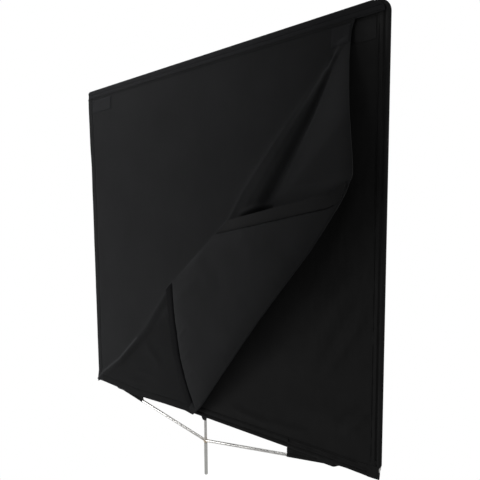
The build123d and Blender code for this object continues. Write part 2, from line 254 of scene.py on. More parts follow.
# ---------- mesh tools
def build(name, verts, faces, material, body, replaces=()):
    """A mesh piece that rides on a body and stands for CAD nodes."""
    mesh = bpy.data.meshes.new(name)
    mesh.from_pydata(np.asarray(verts).tolist(), [], [list(face) for face in faces])
    shape = bmesh.new()
    shape.from_mesh(mesh)
    bmesh.ops.recalc_face_normals(shape, faces=shape.faces)
    shape.to_mesh(mesh)
    shape.free()
    mesh.shade_smooth()
    mesh.set_sharp_from_angle(angle=radians(48))
    mesh.materials.append(material)
    piece = bpy.data.objects.new(name, mesh)
    scene.collection.objects.link(piece)
    if body:
        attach(piece, body)
    if replaces:
        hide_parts(*replaces)
    return piece


def quads(rows, cols):
    """The faces of a grid of points, row by row."""
    i = np.arange(rows * cols).reshape(rows, cols)
    return np.stack([i[:-1, :-1], i[:-1, 1:], i[1:, 1:], i[1:, :-1]], axis=-1).reshape(-1, 4)


def tube_faces(rows, cols):
    """The faces of a closed tube: rings of points, joined ring to ring, with a lid at each end."""
    i = np.arange(rows * cols).reshape(rows, cols)
    j = np.roll(i, -1, axis=1)
    faces = np.stack([i[:-1], i[1:], j[1:], j[:-1]], axis=-1).reshape(-1, 4).tolist()
    return faces + [i[0].tolist(), i[-1][::-1].tolist()]


def shell(grid, thickness):
    """The closed skin of a sheet whose middle surface is a grid of points."""
    rows, cols = grid.shape[:2]
    count = rows * cols
    normal = np.cross(np.gradient(grid, axis=1), np.gradient(grid, axis=0))
    normal = normal / np.maximum(np.linalg.norm(normal, axis=2, keepdims=True), 1e-12)
    half = normal * np.asarray(thickness)[..., None] / 2
    verts = np.concatenate([(grid + half).reshape(-1, 3), (grid - half).reshape(-1, 3)])
    front = quads(rows, cols)
    i = np.arange(count).reshape(rows, cols)
    edge = np.concatenate([i[0, :], i[1:, -1], i[-1, -2::-1], i[-2:0:-1, 0]])
    after = np.roll(edge, -1)
    rim = np.stack([after, edge, edge + count, after + count], axis=-1)
    return verts, np.concatenate([front, front[:, ::-1] + count, rim])


def facet_height(x, z, facets):
    """The y of flat facets, each three (x, y, z) points, at the places (x, z)."""
    best = np.full(x.shape, -np.inf)
    y = np.zeros(x.shape)
    for a, b, c in facets:
        whole = (b[0] - a[0]) * (c[2] - a[2]) - (c[0] - a[0]) * (b[2] - a[2])
        v = ((x - a[0]) * (c[2] - a[2]) - (c[0] - a[0]) * (z - a[2])) / whole
        w = ((b[0] - a[0]) * (z - a[2]) - (x - a[0]) * (b[2] - a[2])) / whole
        inside = np.minimum(np.minimum(v, w), 1 - v - w)
        closer = inside > best
        y = np.where(closer, a[1] + v * (b[1] - a[1]) + w * (c[1] - a[1]), y)
        best = np.maximum(best, inside)
    return y


def soften(height, turns, keep):
    """Rounds the creases of a height grid. The places that keep marks stay as they are."""
    for _ in range(turns):
        wide = np.pad(height, 1, mode="edge")
        mean = (wide[:-2, 1:-1] + wide[2:, 1:-1] + wide[1:-1, :-2] + wide[1:-1, 2:]) / 4
        height = np.where(keep, height, 0.4 * height + 0.6 * mean)
    return height


def along_line(x, z, start, end):
    """How far along a line each place is, from 0 at its start to 1, and how far to its left."""
    d = np.array(end, float) - start
    length = np.hypot(*d)
    u = ((x - start[0]) * d[0] + (z - start[1]) * d[1]) / length**2
    side = (d[0] * (z - start[1]) - d[1] * (x - start[0])) / length
    return u, side


def fold_wave(x, z, start, end, width, depth):
    """A soft wrinkle along a line: a ridge that faces -Y beside a shallow hollow, fading at both ends."""
    u, side = along_line(x, z, start, end)
    fade = smooth_step(np.minimum(u, 1 - u) * 3, 0, 1)
    ridge = bell(side, width) - 0.6 * bell(side - 1.5 * width, 1.3 * width)
    return -depth * fade * ridge


def wrinkles(x, z, rows):
    """Several soft wrinkles together, each (start, end, width, depth)."""
    return sum(fold_wave(x, z, *row) for row in rows)


def swell(x, z, seed, size, waves=9, longest=0.7, shortest=0.16):
    """Slow, irregular waviness of a hanging cloth, always the same for one seed."""
    dice = np.random.default_rng(seed)
    total = np.zeros(np.shape(x))
    for _ in range(waves):
        length = dice.uniform(shortest, longest)
        turn = dice.uniform(0, pi)
        phase = dice.uniform(0, 2 * pi)
        total += length / longest * np.sin(2 * pi * (x * cos(turn) + z * sin(turn)) / length + phase)
    return size * total / waves**0.5


def smooth_step(v, low, high):
    """0 up to low, 1 from high, and smooth between."""
    t = np.clip((v - low) / (high - low), 0, 1)
    return t * t * (3 - 2 * t)


def bell(v, width):
    """1 where v is 0, and falling smoothly away on both sides."""
    return np.exp(-((v / width) ** 2))


def surface_tree(grid):
    """A search tree over a grid's middle surface, for laying pieces on it."""
    return BVHTree.FromPolygons(grid.reshape(-1, 3).tolist(), quads(*grid.shape[:2]).tolist())


def lay_on(tree, x, z, side, lift):
    """Points on a sheet at the places (x, z), lifted off it. side is -1 for its front and 1 for its back."""
    x, z = np.broadcast_arrays(x, z)
    lift = np.broadcast_to(lift, x.shape)
    points = np.zeros((*x.shape, 3))
    normals = np.zeros_like(points)
    for i in np.ndindex(x.shape):
        hit, normal, _, _ = tree.ray_cast(Vector((x[i], side, z[i])), Vector((0, -side, 0)))
        if hit is None:
            hit, normal, _, _ = tree.find_nearest(Vector((x[i], -0.08, z[i])))
        if normal.y * side < 0:
            normal = -normal
        points[i] = hit + normal * lift[i]
        normals[i] = normal
    return points, normals


def run_along(line):
    """How far along a polyline each of its points is, in metres."""
    return np.concatenate([[0], np.cumsum(np.linalg.norm(np.diff(line, axis=0), axis=1))])


def resample(line, step):
    """Points about step apart along a polyline of (x, z) points."""
    line = np.asarray(line, float)
    run = run_along(line)
    at = np.linspace(0, run[-1], max(2, int(run[-1] / step) + 1))
    return np.stack([np.interp(at, run, line[:, k]) for k in range(line.shape[1])], axis=1)


def rounded(line, turns):
    """A polyline with its corners cut, as Chaikin's method does. Its ends stay."""
    line = np.asarray(line, float)
    for _ in range(turns):
        cut = np.stack([0.75 * line[:-1] + 0.25 * line[1:], 0.25 * line[:-1] + 0.75 * line[1:]], axis=1)
        line = np.concatenate([line[:1], cut.reshape(-1, line.shape[1])[1:-1], line[-1:]])
    return line


def inward(line, toward):
    """Unit (x, z) directions square to a polyline, on the side of a given place."""
    d = np.gradient(line, axis=0)
    n = np.stack([-d[:, 1], d[:, 0]], axis=1) / np.linalg.norm(d, axis=1, keepdims=True)
    flip = np.sign(((np.asarray(toward) - line) * n).sum(axis=1))
    return n * flip[:, None]


def hem(name, tree, edge, toward, side, body, replaces, width=0.028, thick=0.001, cuts=(None, None),
        cloth=hem_cloth):
    """A turned-in hem: a strip of cloth along an edge, lying on the sheet, a little fuller in its middle.

    cuts are the (x, z) directions that its two ends are cut along, where they aren't square."""
    line = resample(edge, HEM_STEP)
    out = inward(line, toward)
    run = np.linspace(0, 1, len(line)) * HEM_STEP * len(line)
    slant = out.copy()
    for cut, far in ((cuts[0], run), (cuts[1], run[::-1])):
        if cut is not None:
            cut = np.asarray(cut) / (out * cut).sum(axis=1, keepdims=True)
            fade = (1 - smooth_step(far, 0.0, 0.07))[:, None]
            slant = slant * (1 - fade) + cut * fade
    share = np.array([0.0, 0.02, 0.08, 0.2, 0.4, 0.6, 0.8, 0.92, 0.98, 1.0])
    x = line[:, :1] + slant[:, :1] * share * width
    z = line[:, 1:] + slant[:, 1:] * share * width
    pucker = 0.0002 * np.sin(np.arange(len(line)) * 1.9)[:, None] * np.sin(pi * share)
    lift = FLAP / 2 + thick / 2 + 0.0001 + 0.0006 * np.sin(pi * share) ** 0.7 + pucker
    points, _ = lay_on(tree, x, z, side, lift)
    verts, faces = shell(points, thick)
    build(name, verts, faces, cloth, body, replaces)


def stitches(name, rows, body, radius=0.0005):
    """Rows of sewing: short threads end to end. Each row is (points, normals) along its seam."""
    pitch, length = 0.0042, 0.0034  # from one thread's start to the next's, and along a thread
    verts, faces = [], []
    ring = [(-1, 0), (0, 1), (1, 0), (0, -1)]
    for points, normals in rows:
        run = run_along(points)
        for start in np.arange(0.002, run[-1] - length, pitch):
            at = np.array([start, start + 0.2 * length, start + 0.8 * length, start + length])
            p = np.stack([np.interp(at, run, points[:, k]) for k in range(3)], axis=1)
            n = np.stack([np.interp(at, run, normals[:, k]) for k in range(3)], axis=1)
            d = (p[-1] - p[0]) / max(np.linalg.norm(p[-1] - p[0]), 1e-9)
            first = len(verts)
            # each thread is a four-sided tube that rises out of the cloth and dives back in
            for k, (rise, fat) in enumerate(((-0.4, 0.5), (0.7, 1.0), (0.7, 1.0), (-0.4, 0.5))):
                across = np.cross(d, n[k])
                for a, b in ring:
                    verts.append(p[k] + (across * a * fat + n[k] * (b * fat * 0.8 + rise)) * radius)
            faces += [[first + k for k in face] for face in tube_faces(4, 4)]
    build(name, verts, faces, thread_and_seam_shade, body)


def seam_row(tree, line, lift):
    """A row for stitches(), along a polyline of (x, z) places on a sheet's front."""
    line = resample(line, 0.004)
    return lay_on(tree, line[:, 0], line[:, 1], -1, lift)


def box_line(x0, z0, x1, z1):
    """A rectangle's outline."""
    return [(x0, z0), (x1, z0), (x1, z1), (x0, z1), (x0, z0)]


def flat_row(line, face):
    """A row for stitches(), along a polyline on one face of a sleeve's flat part."""
    line = resample(line, 0.004)
    points = np.stack([line[:, 0], np.full(len(line), face * 0.0021), line[:, 1]], axis=-1)
    return points, np.tile((0.0, face, 0.0), (len(line), 1))


# ---------- cover: panel
def panel_height(x, z):
    """How far the main panel stands from the frame's middle plane: slack cloth between taut sleeves."""
    edge = np.minimum(np.minimum(ROD_X - np.abs(x), z - LOW_Z), TOP_Z - z)
    loose = smooth_step(edge, 0.02, 0.16)
    y = swell(x, z, 4, 0.0018) * loose + wrinkles(x, z, PANEL_WRINKLES)
    room = -0.0070 - 0.0060 * smooth_step(x - 0.8 * z, 0.05, 0.15)
    return np.clip(y, room, 0.006)


PANEL_WRINKLES = [
    ((0.440, 0.385), (0.590, 0.640), 0.017, 0.0085),
    ((0.400, 0.420), (0.555, 0.760), 0.026, 0.0060),
    ((0.490, 0.240), (0.585, 0.330), 0.014, 0.0075),
    ((0.430, 0.640), (0.560, 0.980), 0.030, 0.0050),
    ((0.100, 0.215), (0.300, 0.198), 0.010, 0.0040),
    ((0.230, 0.206), (0.420, 0.216), 0.009, 0.0036),
    ((0.300, 0.260), (0.540, 0.300), 0.030, 0.0020),
    ((-0.560, 0.260), (-0.330, 0.620), 0.035, 0.0030),
    ((-0.500, 1.240), (-0.100, 1.300), 0.030, 0.0024),
    ((-0.200, 0.210), (-0.480, 0.228), 0.012, 0.0022),
]
x_line = np.linspace(-1, 1, 210) * (ROD_X - SEAM + 0.003)
z_line = np.linspace(LOW_Z + SEAM - 0.003, TOP_Z - SEAM + 0.003, 210)
px, pz = np.meshgrid(x_line, z_line)
panel_grid = np.stack([px, panel_height(px, pz), pz], axis=-1)
verts, faces = shell(panel_grid, CLOTH)
cover_panel = build("cover_cloth_panel", verts, faces, cover_cloth, "flag", ["cover_panel"])


# ---------- cover: sleeves
def sleeve_profile():
    """Half of a sleeve's section, from the seam round to the rod's outside.

    Each point is how far in from the rod's axis it is, and half the depth there. The cloth is drawn tight
    beside the rod, so a deep crease runs along it."""
    flat = [(SEAM, 0.0011), (SEAM - 0.0004, 0.0019), (SEAM - 0.0016, 0.0023), (0.0222, 0.0014),
            (0.0205, 0.0021), (0.0175, 0.0026), (0.0150, 0.0032), (0.0132, 0.0036), (0.0120, 0.0034),
            (0.0108, 0.0018), (0.0098, 0.0008), (0.0078, 0.0006)]
    bend = [(SKIN_R * cos(a), SKIN_R * sin(a)) for a in np.linspace(radians(16), pi, 15)]
    return np.array(flat + bend)


def sleeve(name, path, inner, seed, replaces):
    """A sleeve's cloth swept along a rod. inner gives the (x, z) direction from the rod towards the panel."""
    half = sleeve_profile()
    section = np.concatenate([half, half[-2::-1] * (1, -1)])
    slack = smooth_step(section[:, 0], 0.010, 0.014) * smooth_step(SEAM - section[:, 0], 0.001, 0.005)
    run = run_along(path)
    phase = np.random.default_rng(seed).uniform(0, 6.28, 5)
    sizes = zip((0.31, 0.13, 0.071, 0.047, 0.029), (3.0, 3.2, 2.8, 2.2, 1.4), phase)
    wave = sum(a * 1e-4 * np.sin(2 * pi * run / p + f) for p, a, f in sizes)
    side = np.sign(section[:, 1])
    u = section[:, 0][None, :]
    v = section[:, 1][None, :] + slack * (wave[:, None] * 1.2 + side * np.abs(wave[:, None]) * 0.8)
    grid = np.stack([path[:, :1] + inner[:, :1] * u, -v, path[:, 1:] + inner[:, 1:] * u], axis=-1)
    faces = tube_faces(*grid.shape[:2])
    build(name, grid.reshape(-1, 3), faces, cover_cloth, "flag", replaces)


def rod_path(points, inner):
    """A straight run of a rod, as (x, z) points and directions."""
    line = resample(points, 0.007)
    return line, np.tile(inner, (len(line), 1))


bend_x, bend_z = ROD_X - BEND_R, TOP_Z - BEND_R
for side, side_name in ((-1, "left"), (1, "right")):
    line, inner = rod_path([(side * ROD_X, 0.190), (side * ROD_X, bend_z)], (-side, 0))
    sleeve(f"sleeve_cloth_{side_name}", line, inner, 10 + side, [f"sleeve_{side_name}"])
turn = np.linspace(0, pi / 2, 15)
left_bend = np.stack([-bend_x - BEND_R * np.cos(turn), bend_z + BEND_R * np.sin(turn)], axis=1)
left_in = np.stack([np.cos(turn), -np.sin(turn)], axis=1)
top_line, top_in = rod_path([(-bend_x, TOP_Z), (bend_x, TOP_Z)], (0, -1))
path = np.concatenate([left_bend, top_line[1:], (left_bend * (-1, 1))[::-1][1:]])
inner = np.concatenate([left_in, top_in[1:], (left_in * (-1, 1))[::-1][1:]])
sleeve("sleeve_cloth_top", path, inner, 21, ["sleeve_top"])
line, inner = rod_path([(-POCKET_X - 0.004, LOW_Z), (POCKET_X + 0.004, LOW_Z)], (0, 1))
sleeve("sleeve_cloth_bottom", line, inner, 22, ["sleeve_bottom"])


# ---------- cover: brace pockets
def rod_bulge(distance):
    """How far cloth over a rod stands out, by the distance from the rod's axis."""
    on_rod = np.sqrt(np.maximum(SKIN_R**2 - distance**2, 0))
    off_rod = 0.0016 + 0.0020 * bell(distance - 0.0105, 0.0032)
    return np.maximum(on_rod, np.where(distance > 0.0058, off_rod, 0))


def pocket(side, side_name):
    """The bag round the frame's lower corner and a brace: taut over the rods, slack between them."""
    inner_x, outer_x = POCKET_X, HALF + 0.0013
    seam_x, seam_z, top_z = ROD_X - SEAM, LOW_Z + SEAM, 0.200
    share_in = np.linspace(0, 1, 150)
    share_up = np.concatenate([0.10 * (1 - np.cos(np.linspace(0, pi / 2, 9)))[:-1], np.linspace(0.10, 1, 64)])
    gx = np.tile(inner_x + (outer_x - inner_x) * share_in, (len(share_up), 1))
    low = BRACE_Z - np.maximum(BRACE_X - gx[0], 0) * BRACE_SLOPE - SKIN_R
    low = low + (LOW_Z - 0.0057 - (BRACE_Z - SKIN_R)) * smooth_step(gx[0], BRACE_END_X, 0.498)
    low = low + 0.0010 * np.sin((gx[0] - 0.49) * 55) * smooth_step(gx[0], 0.49, 0.51)
    gz = low + (top_z - low) * share_up[:, None]
    # below the frame's bend the outer edge steps in on the right, and hangs out as an ear on the left
    ear = 0.0055 if side > 0 else -0.0045 - 0.0100 * bell(gz - low, 0.008)
    step_in = ear * (1 - smooth_step(gz, 0.180, 0.190)) * smooth_step(share_in, 0.93, 1.0)
    gx = gx - step_in
    # a row of the grid runs along the bottom seam and a column along the side seam
    near = np.abs(gz - seam_z).argmin(axis=0)
    gz[near, np.arange(len(share_in))] = seam_z
    on_side = np.abs(gx[0] - seam_x).argmin()
    gx[:, on_side] = seam_x
    brace_axis = BRACE_Z - np.maximum(BRACE_X - gx, 0) * BRACE_SLOPE
    to_end = np.hypot(gx - BRACE_END_X, gz - brace_axis)
    to_brace = np.where(gx < BRACE_END_X, np.abs(gz - brace_axis), to_end)
    bend_top = LOW_Z + BEND_R
    to_bend = np.abs(np.hypot(gx - bend_x, gz - bend_top) - BEND_R)
    to_frame = np.where(gx < bend_x, np.abs(gz - LOW_Z), to_bend)
    to_frame = np.where(gz > bend_top, np.abs(gx - ROD_X), to_frame)
    on_bend = (gz < bend_top) & (gx > bend_x)
    over_frame = np.where(on_bend, 0.0063 * bell(to_frame, 0.018), rod_bulge(to_frame))
    between = SKIN_R * smooth_step(0.0150 - to_brace - to_frame, 0, 0.003)
    bulge = np.maximum(np.maximum(rod_bulge(to_brace), over_frame), between)
    rim = np.minimum(np.minimum(gz - low, outer_x - gx), gx - inner_x + 0.006)
    bulge = np.clip(bulge, 0.0007, 0.0008 + np.sqrt(np.maximum(rim, 0) * 0.0122))
    slack = smooth_step(np.minimum(to_brace, to_frame), 0.008, 0.016)
    slack = slack * smooth_step(np.abs(gz - seam_z), 0, 0.01)
    sway = slack * (0.0012 * np.sin(gx * 85 + gz * 60) + 0.0008 * np.sin(gx * 43 - gz * 150))
    front = np.stack([side * gx, sway - bulge, gz], axis=-1)
    back = np.stack([side * gx, sway + bulge, gz], axis=-1)
    # inside both seams there is no bag, only the panel
    cells = quads(*gx.shape).reshape(len(share_up) - 1, len(share_in) - 1, 4)
    row, column = np.indices(cells.shape[:2])
    cells = cells[(column >= on_side) | (row < np.minimum(near[:-1], near[1:])[None, :])].tolist()
    open_edges = {}  # the cells' edges with no cell beyond, kept in order
    for cell in cells:
        for a, b in zip(cell, cell[1:] + cell[:1]):
            if (b, a) in open_edges:
                del open_edges[b, a]
            else:
                open_edges[a, b] = True
    count = gx.size
    faces = cells + [[k + count for k in cell[::-1]] for cell in cells]
    faces += [[b, a, a + count, b + count] for a, b in open_edges]
    used = np.unique(faces)
    verts = np.concatenate([front.reshape(-1, 3), back.reshape(-1, 3)])[used]
    faces = np.searchsorted(used, faces)
    build(f"pocket_cloth_{side_name}", verts, faces, cover_cloth, "flag",
          [f"corner_pocket_{side_name}"])


pocket(-1, "left")
pocket(1, "right")

# a small stiff tab covers the slot where the post comes out
tab_x, tab_v = np.meshgrid(np.linspace(-1, 1, 25), np.linspace(0, 1, 15))
tab_half = 0.015 - 0.008 * tab_v
tab_y = -0.0072 + 0.0010 * tab_x**2 - 0.0004 * np.sin(pi * tab_v)
tab = np.stack([tab_x * tab_half, tab_y, 0.1575 - 0.0165 * tab_v], axis=-1)
verts, faces = shell(tab, 0.0009)
build("post_tab_cloth", verts, faces, hem_cloth, "flag", ["post_tab"])

# ---------- cover: header band
band_z = np.array([1.3368, 1.3373, 1.3385, 1.342, 1.346, 1.3495, 1.3515, 1.3530, 1.3545, 1.357, 1.360, 1.364,
                   1.3675, 1.3692, 1.3696])
band_y = np.array([7.7, 8.0, 7.9, 7.3, 7.0, 6.9, 6.6, 6.1, 6.5, 7.0, 7.2, 7.2, 7.1, 6.8, 6.5]) / -1000
band_end = 0.5695 + np.sqrt(np.maximum(0.028**2 - np.maximum(band_z - 1.338, 0) ** 2, 1e-6))
band_end = np.minimum(band_end, 0.5975)
band_start = np.minimum(-HALF + 0.0005 + np.maximum(band_z - 1.364, 0) * 1.5, -0.60)
share = np.linspace(0, 1, 300)
band_x = band_start[:, None] + (band_end - band_start)[:, None] * share
band = np.stack(np.broadcast_arrays(band_x, band_y[:, None], band_z[:, None]), axis=-1).copy()
ripple = 0.00035 * np.sin(band_x * 70) + 0.00025 * np.sin(band_x * 163 + 1)
band[..., 1] += ripple * np.sin(np.linspace(0, pi, len(band_z)))[:, None]
verts, faces = shell(band, CLOTH)
build("header_band_cloth", verts, faces, facing_cloth, "flag", ["header_band"])
band_tree = surface_tree(band)

# ---------- flap
P = {  # the places that the hanging flap's big facets meet at
    "top_left": (FLAP_LEFT, FLAP_Y, 1.335), "top_right": (0.525, FLAP_Y, 1.335),
    "low_left": (FLAP_LEFT, FLAP_Y, 0.144),
    "fold_low": (-0.042, -0.022, 0.154), "fold_top": (0.574, -0.150, 0.927),
    "edge_1": (0.515, -0.0122, 1.305), "edge_2": (0.526, -0.062, 1.218),
    "edge_3": (0.547, -0.110, 1.105), "edge_4": (0.568, -0.140, 0.985),
    "ridge_1": (-0.398, -0.018, 0.322), "ridge_2": (-0.147, -0.024, 0.592),
    "ridge_3": (0.137, -0.032, 0.834), "ridge_4": (0.300, -0.033, 1.046),
    "ridge_5": (0.485, -0.0122, 1.292), "valley_1": (0.070, -0.014, 0.540),
    "valley_2": (0.240, -0.015, 0.790), "valley_3": (0.366, -0.018, 1.010),
}
FACETS = """
    top_left low_left ridge_1 / top_left ridge_1 ridge_2 / top_left ridge_2 ridge_3
    / top_left ridge_3 ridge_4 / top_left ridge_4 ridge_5 / top_left ridge_5 top_right
    / ridge_5 edge_1 top_right / low_left fold_low ridge_1 / ridge_1 fold_low ridge_2
    / ridge_2 fold_low valley_1 / ridge_2 valley_1 ridge_3 / ridge_3 valley_1 valley_2
    / ridge_3 valley_2 ridge_4 / ridge_4 valley_2 valley_3 / ridge_4 valley_3 ridge_5
    / valley_1 fold_low fold_top / valley_1 fold_top valley_2 / valley_2 fold_top valley_3
    / valley_3 fold_top edge_4 / valley_3 edge_4 edge_3 / valley_3 edge_3 edge_2
    / ridge_5 valley_3 edge_2 / ridge_5 edge_2 edge_1
"""
facets = [[P[k] for k in names.split()] for names in FACETS.split("/")]
FOLD_LOW, FOLD_TOP = np.array(P["fold_low"]), np.array(P["fold_top"])
FOLD_R = 0.0050  # half the thickness of the turned-back fold
FOLD_BOW = np.array([  # how far the bent edge wanders from the straight fold, by the share of its length
    (0.00, 0.000), (0.05, 0.006), (0.18, 0.004), (0.40, 0.003), (0.52, 0.004), (0.62, 0.008), (0.70, 0.012),
    (0.78, 0.016), (0.84, 0.014), (0.90, 0.011), (0.96, 0.008), (1.00, 0.000)])
RIDGE = [  # the long crease, from the top right to the low left
    (0.4950, 1.297), (0.4879, 1.286), (0.4395, 1.218), (0.3727, 1.135), (0.2879, 1.031), (0.1995, 0.927),
    (0.1370, 0.834), (-0.1250, 0.617), (-0.2740, 0.436), (-0.4420, 0.281), (-0.5620, 0.200), (-0.6060, 0.160)]


def fold_place(share):
    """The (x, y, z) points of the line where the corner turns back."""
    share = np.asarray(share)[..., None]
    points = FOLD_LOW + (FOLD_TOP - FOLD_LOW) * share
    points[..., 0] += np.interp(share[..., 0], *FOLD_BOW.T)
    return points


def fold_fat(share):
    """Half the thickness of the turned-back fold, flat at both ends."""
    return FOLD_R * np.clip(np.sin(pi * np.clip(share, 0, 1)) * 4, 0.15, 1)


def beside(x, z, line):
    """How far each place lies to the right of a polyline that runs downwards, and how far along it."""
    line = np.asarray(line)
    run = run_along(line)
    best, place = np.full(x.shape, 9.0), np.zeros(x.shape)
    for k, (a, b) in enumerate(zip(line[:-1], line[1:])):
        u, side = along_line(x, z, a, b)
        u = np.clip(u, 0, 1)
        gap = np.hypot(x - a[0] - u * (b - a)[0], z - a[1] - u * (b - a)[1])
        closer = gap < np.abs(best)
        best = np.where(closer, np.where(side > 0, gap, -gap), best)
        place = np.where(closer, (run[k] + u * (run[k + 1] - run[k])) / run[-1], place)
    return best, place


edge_line = rounded([P[k][::2] for k in ("fold_top", "edge_4", "edge_3", "edge_2", "edge_1", "top_right")], 3)
fold_line = fold_place(np.linspace(0, 1, 80))


def right_limit(z):
    """Where the flap's front part ends on the right: the fold below, the free edge above."""
    on_fold = np.interp(z, fold_line[:, 2], fold_line[:, 0]) - 0.0008
    on_edge = np.interp(z, edge_line[:, 1], edge_line[:, 0])
    return np.where(z < FOLD_TOP[2], on_fold, on_edge)


LOW_EDGE = np.array([(FLAP_LEFT, 0.146), (-0.590, 0.1545), (-0.450, 0.148), (-0.364, 0.144), (-0.300, 0.150),
                     (-0.180, 0.157), (-0.077, 0.161), (-0.042, 0.156), (0.6, 0.156)])
share_x, share_z = np.linspace(0, 1, 250), np.linspace(0, 1, 270)
row_z = 0.158 + (FLAP_TOP - 0.158) * share_z
left_limit = FLAP_LEFT + 0.0075 * smooth_step(row_z, 0.165, 0.22) * smooth_step(-row_z, -1.33, -0.95)
left_limit = left_limit + 0.0012 * np.sin(row_z * 31) * smooth_step(-row_z, -1.30, -1.1)
fx = left_limit[:, None] + (right_limit(row_z) - left_limit)[:, None] * share_x
low = np.interp(fx[0], *LOW_EDGE.T)
fz = low + (FLAP_TOP - low) * share_z[:, None]
past, place = beside(fx, fz, RIDGE)
base = facet_height(fx, fz, facets)
keep = np.abs(past) < 0.0035
keep[-3:, :] = True
fy = soften(base, 90, keep)
# at the fold the sheet meets the start of the bend
fold_depth = np.interp(fz, fold_line[:, 2], fold_line[:, 1])
to_fold = (right_limit(row_z)[:, None] - fx) * 0.8
meet = np.exp(-to_fold / 0.030) * smooth_step(-row_z, -0.95, -0.91)[:, None]
fy = fy * (1 - meet) + (fold_depth + fold_fat((fz - FOLD_LOW[2]) / (FOLD_TOP - FOLD_LOW)[2])) * meet
quiet = smooth_step(1.335 - fz, 0.0, 0.10) * smooth_step(fx - FLAP_LEFT, 0.0, 0.06)
fy = fy + swell(fx, fz, 11, 0.0013, longest=0.6, shortest=0.2) * quiet
# the ridge is a pinched crest, thin and sharp on its left
CREST_AT, CREST_MM = [0, 0.03, 0.2, 0.45, 0.55, 0.8, 0.97, 1], [1.0, 5.0, 6.0, 5.0, 4.5, 4.0, 2.6, 0.5]
rise = np.where(past < 0, np.exp(-np.abs(past) / 0.010), bell(past, 0.020))
fy = fy - np.interp(place, CREST_AT, CREST_MM) / 1000 * rise
# above the turned-back corner the sheet bellies out past the crest, then dips into a soft valley
upper = np.interp(place, [0, 0.04, 0.12, 0.47, 0.50], [0, 0.3, 1.0, 1.0, 0.0])
far = np.interp(place, [0.04, 0.12, 0.30, 0.47], [0.020, 0.043, 0.080, 0.076])
fy = fy - 0.0085 * upper * smooth_step(past / far, 0.0, 0.45) * (1 - smooth_step(past / far, 0.62, 1.05))
fy = fy + 0.0065 * upper * bell(past / far - 1.08, 0.22)
# below, the strip between the crest and the corner lies a little deeper
lower_dip = 0.0060 * np.interp(place, [0.44, 0.68, 0.85, 1.0], [0, 1, 1, 0.1])
fy = fy + lower_dip * smooth_step(past, 0.002, 0.030) * (1 - smooth_step(past, 0.10, 0.22))
fy = fy + quiet * wrinkles(fx, fz, (
    ((-0.430, 0.195), (-0.250, 0.215), 0.010, 0.0016),
    ((-0.360, 0.245), (-0.200, 0.255), 0.013, 0.0016),
    ((-0.300, 0.370), (-0.190, 0.290), 0.020, 0.0024),
    ((0.175, 0.842), (0.312, 0.880), 0.007, -0.0120),
    ((0.475, 1.270), (0.455, 1.215), 0.006, -0.0050),
    ((0.400, 1.120), (0.500, 1.285), 0.012, 0.0030),
    ((-0.420, 1.332), (-0.120, 1.180), 0.030, 0.0012),
    ((0.060, 1.332), (0.260, 1.150), 0.030, 0.0012),
))
from_left, from_low = fx - left_limit[:, None], fz - low
# stitching pulls the sheet in along the hems, and the free edge curls
left_seam = bell(from_left - HEM_SEAM, 0.0034) * smooth_step(from_low, 0.01, 0.03)
low_seam = bell(from_low - 0.0265, 0.0034) * smooth_step(from_left, 0.02, 0.03)
fy = fy + 0.0020 * np.maximum(left_seam, low_seam)
fy = np.minimum(fy + 0.0012 * np.exp(-from_left / 0.004), -0.0097)
fy[-1, :] = FLAP_Y
flap_grid = np.stack([fx, fy, fz], axis=-1)
flap_tree = surface_tree(flap_grid)
verts, faces = shell(flap_grid, FLAP)
flap = build("flap_cloth_sheet", verts, faces, flap_front_cloth, "flap", ["flap_sheet"])

# the sewn fold that the flap hinges on
hx = np.linspace(FLAP_LEFT, 0.525, 300)[:, None]
turn = np.linspace(0, 2 * pi, 13)[:-1]
fat = 0.0013 * (1 + 0.12 * np.sin(hx * 160))
roll = np.stack(np.broadcast_arrays(hx, FLAP_Y + fat * np.cos(turn), HINGE_Z + fat * np.sin(turn)), axis=-1)
faces = tube_faces(*roll.shape[:2])
build("flap_hinge_cloth", roll.reshape(-1, 3), faces, hem_cloth, "flap", ["flap_hinge_fold"])

left_edge = np.stack([left_limit + 0.0006, row_z], axis=1)[6:-2]
low_line = np.stack([fx[0, 1:-2], fz[0, 1:-2] + 0.0005], axis=1)
right_edge = np.array([(x - 0.0008, z) for x, z in edge_line if z < 1.325])
hem("flap_hem_left", flap_tree, left_edge, (0, 0.7), 1, "flap", ["flap_left_hem"])
hem("flap_hem_bottom", flap_tree, low_line, (-0.3, 0.7), 1, "flap", ["flap_bottom_hem"])
hem("flap_hem_right", flap_tree, right_edge, (0.2, 1.05), 1, "flap", ["flap_right_hem"])

# ---------- the corner that is turned back
HEM_END, TIP_END = np.array((-0.134, -0.042, 0.597)), np.array((0.158, -0.062, 0.836))
OUTLINE = np.array([
    P["fold_low"], (-0.060, -0.025, 0.188), (-0.0826, -0.029, 0.2554), (-0.1128, -0.034, 0.3675),
    (-0.1271, -0.038, 0.4786), HEM_END, TIP_END, (0.474, -0.1425, 0.888), (0.511, -0.152, 0.894),
    (0.538, -0.1515, 0.9065), P["fold_top"]])
fold_run = FOLD_TOP - FOLD_LOW
square_share = ((OUTLINE - FOLD_LOW)[:, ::2] @ fold_run[::2]) / (fold_run[::2] @ fold_run[::2])
hem_share, tip_share = square_share[5], square_share[6]


def outline_at(share):
    """The turned-back corner's far boundary, abreast of a share of the fold's length."""
    return np.stack([np.interp(share, square_share, OUTLINE[:, k]) for k in range(3)], axis=-1)


